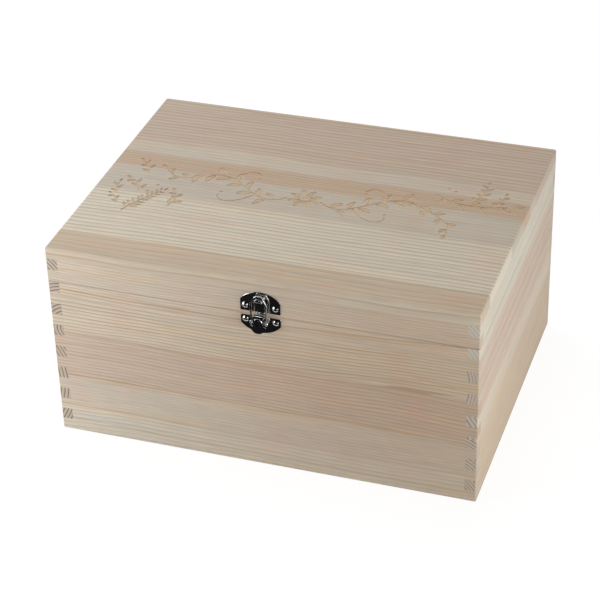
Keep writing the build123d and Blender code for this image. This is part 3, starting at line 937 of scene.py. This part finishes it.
def cut_ornament(mesh, outlines, depth):
    """Sinks each outline into the lid's top: a floor, a wall and the top face round it."""
    top = max(vertex.co.z for vertex in mesh.verts)
    lid_top = [face for face in mesh.faces
               if all(vertex.co.z > top - WELD for vertex in face.verts)]
    bmesh.ops.delete(mesh, geom=lid_top, context="FACES")
    rim = next(edge for edge in mesh.edges if edge.is_boundary)
    points = []
    loops = []
    for outline in [loop_walk(rim.verts[0], rim), *outlines]:
        loops.append(range(len(points), len(points) + len(outline)))
        points += [Vector(point) / MM for point in counter_clockwise(outline)]
    plan, _, triangles, _, _, owners = delaunay_2d_cdt(points, [], loops, INSIDE, NEARNESS)
    heights = (top, top - depth)
    sunk = [int(any(owner > 0 for owner in group)) for group in owners]
    levels = ({}, {})
    sides = {}
    for triangle, level in zip(triangles, sunk):
        for corner in triangle:
            if corner not in levels[level]:
                levels[level][corner] = mesh.verts.new((*(plan[corner] * MM), heights[level]))
        mesh.faces.new([levels[level][corner] for corner in triangle]).material_index = level
        for pair in zip(triangle, (*triangle[1:], triangle[0])):
            sides[tuple(pair)] = level
    for (start, end), level in sides.items():
        if level == 1 and sides.get((end, start)) == 0:
            wall = [levels[1][start], levels[1][end], levels[0][end], levels[0][start]]
            mesh.faces.new(wall).material_index = 1
    bmesh.ops.remove_doubles(mesh, verts=mesh.verts, dist=WELD)
    bmesh.ops.recalc_face_normals(mesh, faces=mesh.faces)


# --- Screws ---

FRONT_FACE, BACK_FACE = 0, 1
HEAD_STEPS = 32
DOME_STEPS = 6

# Shares of a head's height: its straight rim, and how far the driver's cross starts above it.
HEAD_RIM = 0.22
CROSS_RISE = 0.2

# The cross's size at its bottom, as a share of its size at the top.
CROSS_TAPER = 0.55

# Length of the shank's point and softening of the countersunk rim, as shares of their radius.
POINT_LENGTH = 1.6
RIM_EASE = 0.08


def spun_mesh(profile):
    """A closed solid of revolution about Z, of (radius, height) from axis to axis."""
    mesh = bmesh.new()
    points = [mesh.verts.new((radius, 0.0, height)) for radius, height in profile]
    edges = [mesh.edges.new(pair) for pair in zip(points, points[1:])]
    bmesh.ops.spin(mesh, geom=points + edges, cent=(0, 0, 0), axis=(0, 0, 1), angle=2 * math.pi,
                   steps=HEAD_STEPS, use_merge=True)
    bmesh.ops.remove_doubles(mesh, verts=mesh.verts, dist=WELD)
    bmesh.ops.recalc_face_normals(mesh, faces=mesh.faces)
    return mesh


def cross_mesh(settings, lift):
    """The driver's cross: two blades that narrow downwards, their top raised by lift."""
    mesh = bmesh.new()
    for turn in (0.0, math.pi / 2):
        blade = bmesh.ops.create_cube(mesh, size=1.0)["verts"]
        for vertex in blade:
            deep = vertex.co.z < 0
            taper = CROSS_TAPER if deep else 1.0
            vertex.co = Vector((vertex.co.x * settings.recess_length * taper,
                                vertex.co.y * settings.recess_width * taper,
                                -settings.recess_depth if deep else lift))
        bmesh.ops.rotate(mesh, verts=blade, cent=(0, 0, 0), matrix=Matrix.Rotation(turn, 3, "Z"))
    return mesh


def screw_object(name, head, height, length, settings):
    """A screw with its face at nought: head profile, pointed shank and the driver's cross."""
    radius = settings.shank_radius
    point = POINT_LENGTH * radius
    shank = [(radius, -height), (radius, point - length), (0.0, -length)]
    tool = to_object("cross", cross_mesh(settings, CROSS_RISE * height))
    screw = modified(spun_mesh(head + shank), "BOOLEAN", operation="DIFFERENCE", solver="EXACT",
                     use_self=True, object=tool)
    bpy.data.objects.remove(tool)
    shade(screw, SCREW_SMOOTH_ANGLE)
    return to_object(name, screw)


def round_screw(head_radius, length, settings):
    """Domed head: the crown of a ball over a low rim."""
    height = settings.round_head
    crown = height - HEAD_RIM * height
    ball = (head_radius ** 2 + crown ** 2) / (2 * crown)
    turns = [math.asin(head_radius / ball) * i / DOME_STEPS for i in range(DOME_STEPS + 1)]
    dome = [(ball * math.sin(turn), ball * math.cos(turn) - ball) for turn in turns]
    return screw_object("round_screw", dome + [(head_radius, -height)], height, length, settings)


def flat_screw(head_radius, length, settings):
    """Countersunk head with a flat face and a softened rim."""
    ease = RIM_EASE * head_radius
    head = [(0.0, 0.0), (head_radius - ease, 0.0), (head_radius, -ease)]
    return screw_object("flat_screw", head, settings.flat_head, length, settings)


def screw_group_tree():
    """One screw on each point, its face turned outwards and its cross turned by chance."""
    tree, bench, given = new_tree("Screw Group", "GeometryNodeTree", {
        "Geometry": "Geometry", "Screw": "Object", "Facing": "Vector", "Seed": "Int",
        "Material": "Material",
    }, {"Geometry": "Geometry"})
    points = bench.wire("GeometryNodeMeshToPoints", {"Mesh": given["Geometry"]}, mode="VERTICES")
    screws = place_copies(bench, points, given["Screw"], given["Facing"])
    turn = bench.chance(given["Seed"]) * (math.pi / 2)
    turned = bench.wire("GeometryNodeRotateInstances", {
        "Instances": screws, "Rotation": bench.combine(z=turn),
    })
    close_tree(bench, turned, given["Material"])
    return tree


def screw_group(node_name, tree, make_screw, face, slot_name):
    """Replaces a CAD group of screws. Face is FRONT_FACE or BACK_FACE."""
    settings = bpy.context.scene.keepsake_metal
    boxes = part_boxes(node_name)
    low, high = boxes[0]
    screw = make_screw((high.x - low.x) / 2, high.y - low.y, settings)
    spots = [[((box[0].x + box[1].x) / 2, box[face].y, (box[0].z + box[1].z) / 2)]
             for box in boxes]
    mesh = run_tree(chain_object("spots", spots), tree, {
        "Screw": screw, "Facing": ((0.5 - face) * math.pi, 0.0, 0.0),
        "Seed": settings.seed, "Material": metal(slot_name),
    })
    bpy.data.objects.remove(screw)
    replace_node(node_name, node_name + "_cut", mesh, [metal(slot_name)])


# --- Sheet metal ---

# In degrees: the least turn between two flats, and the least turn of an edge that is rounded.
FLAT_ANGLE = 1
EDGE_ANGLE = 38
EDGE_STEPS = 3


def rounded_sheet(node_name, slot_name, radius):
    """Replaces a pressed piece by one of the same shape with softened edges."""
    mesh = welded_copy(node_name)
    bmesh.ops.dissolve_limit(mesh, angle_limit=math.radians(FLAT_ANGLE), verts=mesh.verts,
                             edges=mesh.edges)
    mesh = modified(mesh, "BEVEL", width=radius, segments=EDGE_STEPS, limit_method="ANGLE",
                    angle_limit=math.radians(EDGE_ANGLE))
    bmesh.ops.triangulate(mesh, faces=[face for face in mesh.faces if len(face.verts) > 4])
    shade(mesh, SMOOTH_ANGLE)
    replace_node(node_name, node_name + "_rounded", mesh, [metal(slot_name)])


# --- Operators ---

class KEEPSAKE_OT_boards(bpy.types.Operator):
    """Gives walls, rails and bottom their wood"""

    bl_idname = "keepsake.boards"
    bl_label = "Boards"

    def execute(self, context):
        wood = context.scene.keepsake_wood
        figure = pine_figure(wood)
        boards = {"front": FRONT, "back": BACK, "left": LEFT, "right": RIGHT}
        for side, board in boards.items():
            material = pine_board(side + "_pine", board, figure, wood)
            for node_name in (side + "_wall", f"lid_{side}_rail"):
                paint(node_name, material)
        paint("bottom_panel", plywood(wood))
        return {"FINISHED"}


class KEEPSAKE_OT_lid(bpy.types.Operator):
    """Cuts the leafy ornament into the lid panel"""

    bl_idname = "keepsake.lid"
    bl_label = "Engraved Lid"

    def execute(self, context):
        wood = context.scene.keepsake_wood
        lid = context.scene.keepsake_lid
        figure = bpy.data.node_groups["Pine Figure"]
        sanded = pine_board("lid_pine", LID, figure, wood)
        toasted = pine_board("engraved_pine", LID, figure, wood, BURN)
        mesh = welded_copy("lid_panel")
        cut_ornament(mesh, ornament_outlines(lid, toasted), lid.depth)
        shade(mesh, SMOOTH_ANGLE)
        replace_node("lid_panel", "engraved_lid_panel", mesh, [sanded, toasted])
        return {"FINISHED"}


class KEEPSAKE_OT_clasp(bpy.types.Operator):
    """Rounds the edges of the clasp's plates, lever and bail, and gives the pins their nickel"""

    bl_idname = "keepsake.clasp"
    bl_label = "Clasp"

    def execute(self, context):
        radius = context.scene.keepsake_metal.edge_round
        for node_name in ("catch_plate", "clasp_base_plate", "clasp_lever", "clasp_bail"):
            rounded_sheet(node_name, "nickel", radius)
        for node_name in ("lever_pin", "bail_pin"):
            paint(node_name, metal("nickel"))
        return {"FINISHED"}


class KEEPSAKE_OT_hinges(bpy.types.Operator):
    """Gives the two hinges at the back their nickel"""

    bl_idname = "keepsake.hinges"
    bl_label = "Hinges"

    def execute(self, context):
        for part in ("box_leaf", "lid_leaf", "pin"):
            for side in ("left", "right"):
                paint(f"{side}_hinge_{part}", metal("hinge_nickel"))
        return {"FINISHED"}


class KEEPSAKE_OT_screws(bpy.types.Operator):
    """Sets the screws of clasp and hinges"""

    bl_idname = "keepsake.screws"
    bl_label = "Screws"

    def execute(self, context):
        tree = screw_group_tree()
        for node_name in ("clasp_base_screws", "catch_plate_screws"):
            screw_group(node_name, tree, round_screw, FRONT_FACE, "nickel")
        for node_name in ("hinge_box_screws", "hinge_lid_screws"):
            screw_group(node_name, tree, flat_screw, BACK_FACE, "hinge_nickel")
        return {"FINISHED"}


# --- Studio ---

PHOTO_PIXELS = 600
SENSOR = 36.0
FLOOR_SIZE = (12.0, 12.0)
FLOOR_GREY = (0.86, 0.86, 0.86)
FLOOR_GLOW = 0.90
SHADED_GREY = (0.16, 0.16, 0.16)

# Black cards seen only in reflections, by the metal and by the wood's gloss, never by the camera,
# by
# diffuse light or in shadows: painted dark reflections. Name, size, place and turn about X.
CARDS = (
    ("floor_card", (1.9, 1.715), (-0.70, -1.0075, 0.001), 0.0),
    ("front_card", (4.4, 2.9), (0.0, -1.75, 1.45), math.pi / 2),
    ("sky_card", (4.4, 1.3), (0.0, -1.1, 2.9), 0.0),
)

# Soft square lamps: name, place, size, and the settings of their power and tint.
LAMPS = (
    ("side_lamp", (0.78, -0.36, 0.20), 0.4, "side_power", "side_tint"),
    ("front_lamp", (-0.40, -0.39, 0.22), 0.3, "front_power", "lamp_tint"),
    ("top_lamp", (-0.2, 0.3, 1.6), 1.1, "top_power", "top_tint"),
    ("back_lamp", (-1.1, 1.1, 0.7), 0.8, "back_power", "lamp_tint"),
)


def add_camera(studio):
    """The camera at the photograph's angle."""
    data = bpy.data.cameras.new("camera")
    data.sensor_width = SENSOR
    data.lens = studio.focal_pixels / PHOTO_PIXELS * SENSOR
    camera = linked_object("camera", data)
    camera.matrix_world = Matrix.Translation(studio.place)
    turns = ((studio.azimuth, "Z"), (math.pi / 2 - studio.elevation, "X"), (studio.roll, "Z"))
    for angle, axis in turns:
        camera.matrix_world = camera.matrix_world @ Matrix.Rotation(angle, 4, axis)
    bpy.context.scene.camera = camera


def add_lamp(name, place, size, power, tint):
    """A soft square lamp that looks at the box."""
    data = bpy.data.lights.new(name, "AREA")
    data.shape = "SQUARE"
    data.size = size
    data.energy = power
    data.color = tint
    lamp = linked_object(name, data)
    lamp.location = place
    lamp.rotation_euler = (BOX_CENTRE - Vector(place)).to_track_quat("-Z", "Y").to_euler()


def seen_rays(bench):
    """1 on rays that show the background itself: from the camera, in gloss and through glass."""
    path = bench.wires("ShaderNodeLightPath")
    shown = bench.math("MAXIMUM", path["Is Camera Ray"], path["Is Glossy Ray"])
    return bench.math("MAXIMUM", shown, path["Is Transmission Ray"])


def light_room(studio):
    """White background, and plain light from all round."""
    world = bpy.data.worlds.new("room")
    world.use_nodes = True
    bpy.context.scene.world = world
    bench = Bench(world.node_tree)
    shown = seen_rays(bench)
    bench.fill(world.node_tree.nodes["Background"], {
        "Color": bench.mix(shown, studio.room_tint, WHITE),
        "Strength": bench.mix(shown, studio.ambient, 1.0, "FLOAT"),
    })


def stage_sheet(name, segments, size, material, place=(0.0, 0.0, 0.0), turn=0.0):
    """A flat sheet of the studio, turned about X."""
    mesh = bmesh.new()
    bmesh.ops.create_grid(mesh, x_segments=segments, y_segments=segments, size=0.5)
    bmesh.ops.scale(mesh, vec=(*size, 1.0), verts=mesh.verts)
    sheet = to_object(name, mesh, material)
    sheet.location = place
    sheet.rotation_euler = (turn, 0.0, 0.0)
    return sheet


def add_floor():
    """Pale floor, bright to the eye but still under the box's shadow."""
    material, bench, shader = new_material("floor_paper")
    tooth = bench.wire("ShaderNodeTexNoise", {"Scale": 900.0, "Detail": 2.0})
    bench.fill(shader, {
        "Base Color": FLOOR_GREY, "Roughness": 0.9, "Normal": bench.bump(tooth, 0.05, 0.3),
    })
    glow = bench.wire("ShaderNodeEmission", {"Color": WHITE, "Strength": FLOOR_GLOW})
    faint = bench.wire("ShaderNodeBsdfDiffuse", {"Color": SHADED_GREY})
    shown = bench.wire("ShaderNodeAddShader", {0: glow, 1: faint})
    paper = Wire(bench, shader.outputs[0])
    surface = bench.wire("ShaderNodeMixShader", {0: seen_rays(bench), 1: paper, 2: shown})
    bench.fill(material.node_tree.nodes["Material Output"], {"Surface": surface})
    stage_sheet("floor", 8, FLOOR_SIZE, material)


def add_dark_card(name, size, place, turn):
    """A black card seen only in reflections: a painted dark reflection in the metal and the wood's
    gloss.
    """
    material, bench, shader = new_material(name + "_felt")
    tooth = bench.wire("ShaderNodeTexNoise", {"Scale": 300.0, "Detail": 2.0})
    bench.fill(shader, {
        "Base Color": bench.mix(tooth, (0.006, 0.006, 0.006), (0.016, 0.016, 0.017)),
        "Roughness": 1.0, "Specular IOR Level": 0.0,
    })
    card = stage_sheet(name, 2, size, material, place, turn)
    # Hidden from the camera, diffuse light, shadows and glass: the card shows only as a painted
    # dark reflection.
    for ray in ("camera", "diffuse", "shadow", "transmission"):
        setattr(card, "visible_" + ray, False)


class KEEPSAKE_OT_studio(bpy.types.Operator):
    """Sets the camera, the lamps, the floor and the white background"""

    bl_idname = "keepsake.studio"
    bl_label = "Studio"

    def execute(self, context):
        studio = context.scene.keepsake_studio
        context.scene.view_settings.view_transform = "Standard"
        add_camera(studio)
        light_room(studio)
        add_floor()
        for card in CARDS:
            add_dark_card(*card)
        for name, place, size, power, tint in LAMPS:
            add_lamp(name, place, size, getattr(studio, power), getattr(studio, tint))
        return {"FINISHED"}


# --- Panel and registration ---

OPERATORS = (
    KEEPSAKE_OT_studio,
    KEEPSAKE_OT_boards,
    KEEPSAKE_OT_lid,
    KEEPSAKE_OT_clasp,
    KEEPSAKE_OT_hinges,
    KEEPSAKE_OT_screws,
)


class KEEPSAKE_PT_panel(bpy.types.Panel):
    """Sidebar panel with the box's settings and operators"""

    bl_idname = "KEEPSAKE_PT_panel"
    bl_label = "Keepsake Box"
    bl_space_type = "VIEW_3D"
    bl_region_type = "UI"
    bl_category = "Keepsake Box"

    def draw(self, context):
        for operator in OPERATORS:
            self.layout.operator(operator.bl_idname)
        for name in SETTINGS:
            group = getattr(context.scene, name)
            column = self.layout.column(heading=name)
            for key in group.__annotations__:
                column.prop(group, key)


CLASSES = (*SETTINGS.values(), *OPERATORS, KEEPSAKE_PT_panel)


def register():
    for cls in CLASSES:
        bpy.utils.register_class(cls)
    for name, group in SETTINGS.items():
        setattr(bpy.types.Scene, name, PointerProperty(type=group))


def unregister():
    for name in SETTINGS:
        delattr(bpy.types.Scene, name)
    for cls in reversed(CLASSES):
        bpy.utils.unregister_class(cls)


def main():
    register()
    bpy.ops.keepsake.studio()
    bpy.ops.keepsake.boards()
    bpy.ops.keepsake.lid()
    bpy.ops.keepsake.clasp()
    bpy.ops.keepsake.hinges()
    bpy.ops.keepsake.screws()


if __name__ == "__main__":
    main()
